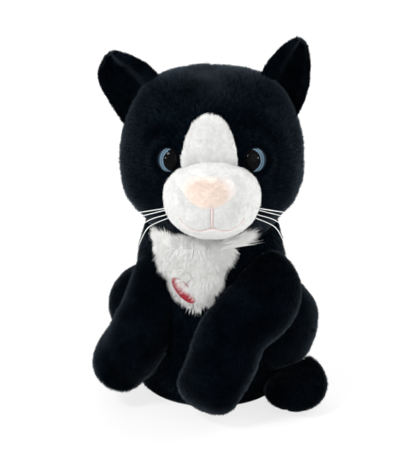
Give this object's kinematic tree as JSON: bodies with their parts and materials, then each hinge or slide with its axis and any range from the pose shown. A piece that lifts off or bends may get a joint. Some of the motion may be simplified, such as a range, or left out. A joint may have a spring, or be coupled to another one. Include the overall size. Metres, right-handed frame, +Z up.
{
  "type": "interactive plush kitten",
  "caption": "Sitting black and white plush kitten whose geared head turns on a neck shaft; a sprung chest badge presses a switch, with battery door and power switch in the base.",
  "frame": {"origin": "centre of the base plate's underside, on the floor and on the neck axis", "axes": "+Z up along the neck axis, -Y the way the torso faces, +X the kitten's left side"},
  "size_m": [0.1618, 0.1605, 0.2349],
  "materials": {
    "black_plush": "short black plush",
    "white_plush": "short white plush",
    "nose_pad": "smooth peach pad",
    "thread": "dull pink thread",
    "stuffing": "loose fibre",
    "eye": "polished, blue iris ring",
    "badge": "smooth red",
    "whisker": "stiff filament",
    "white_plastic": "moulded",
    "grey_plastic": "moulded",
    "black_plastic": "moulded",
    "gear_plastic": "moulded",
    "steel": "plain",
    "brass": "plain",
    "cell": "printed can without words",
    "board": "solder mask",
    "cone": "paper",
    "wire": "insulated"
  },
  "bodies": {
    "body": {"body_skin": "black_plush", "body_stuffing": "stuffing", "bib": "white_plush", "left_foreleg": "black_plush", "right_foreleg": "black_plush", "left_thigh": "black_plush", "right_thigh": "black_plush", "left_hind_foot": "black_plush", "right_hind_foot": "black_plush", "tail": "black_plush", "base_plate": "grey_plastic", "base_screws": "steel", "battery_box": "white_plastic", "batteries": "cell", "battery_contact": "steel", "door_hinge_pin": "steel", "power_switch": "white_plastic", "circuit_board": "board", "speaker_frame": "grey_plastic", "speaker_cone": "cone", "wires": "wire", "chassis_front": "white_plastic", "chassis_rear": "white_plastic", "chassis_screws": "steel", "gearbox_lower_plate": "white_plastic", "gearbox_upper_plate": "white_plastic", "gearbox_screws": "steel", "motor": "steel", "gear_axles": "steel", "neck_bush": "brass", "button_housing": "white_plastic", "button_spring": "steel", "button_switch": "black_plastic"},
    "head": {"head_skin": "black_plush", "head_stuffing": "stuffing", "muzzle": "white_plush", "blaze": "white_plush", "nose": "nose_pad", "mouth_stitching": "thread", "left_eye": "eye", "right_eye": "eye", "eye_washers": "white_plastic", "left_ear": "black_plush", "right_ear": "black_plush", "left_whiskers": "whisker", "right_whiskers": "whisker", "head_plate": "white_plastic", "neck_screw": "steel", "neck_shaft": "steel", "neck_gear": "gear_plastic"},
    "gear_1": {"gear_1": "gear_plastic"},
    "gear_2": {"gear_2": "gear_plastic"},
    "motor_pinion": {"motor_pinion": "brass"},
    "chest_button": {"button_plunger": "white_plastic", "press_badge": "badge"},
    "power_knob": {"power_switch_knob": "black_plastic"},
    "battery_door": {"battery_door": "grey_plastic", "battery_springs": "steel", "battery_door_screw": "steel"}
  },
  "joints": [
    {"name": "head_turn", "type": "hinge", "parent": "body", "child": "head", "pos_m": [0, 0, 0.1], "axis": [0, 0, 1], "range_deg": [-52, 8]},
    {"name": "gear_2_spin", "type": "hinge", "parent": "body", "child": "gear_2", "pos_m": [0.01522, 0.00554, 0.084], "axis": [0, 0, 1], "range_deg": [-30, 184]},
    {"name": "gear_1_spin", "type": "hinge", "parent": "body", "child": "gear_1", "pos_m": [0.00486, 0.01554, 0.079], "axis": [0, 0, 1], "range_deg": [-550, 88]},
    {"name": "motor_spin", "type": "hinge", "parent": "body", "child": "motor_pinion", "pos_m": [-0.00955, 0.01141, 0.076], "axis": [0, 0, 1], "range_deg": [-340, 2190]},
    {"name": "chest_press", "type": "slide", "parent": "body", "child": "chest_button", "axis": [0, 1, 0], "range_m": [0, 0.0015], "stiffness_N_per_m": 600, "springref_m": -0.0008, "deforming": ["button_spring"]},
    {"name": "power_slide", "type": "slide", "parent": "body", "child": "power_knob", "axis": [1, 0, 0], "range_m": [0, 0.004]},
    {"name": "battery_door_swing", "type": "hinge", "parent": "body", "child": "battery_door", "pos_m": [0, 0.0094, 0.0016], "axis": [-1, 0, 0], "range_deg": [0, 95]}
  ],
  "couplings": [
    {"joint": "gear_2_spin", "follows": "head_turn", "ratio": -3.5},
    {"joint": "gear_1_spin", "follows": "head_turn", "ratio": 10.5},
    {"joint": "motor_spin", "follows": "head_turn", "ratio": -42}
  ]
}
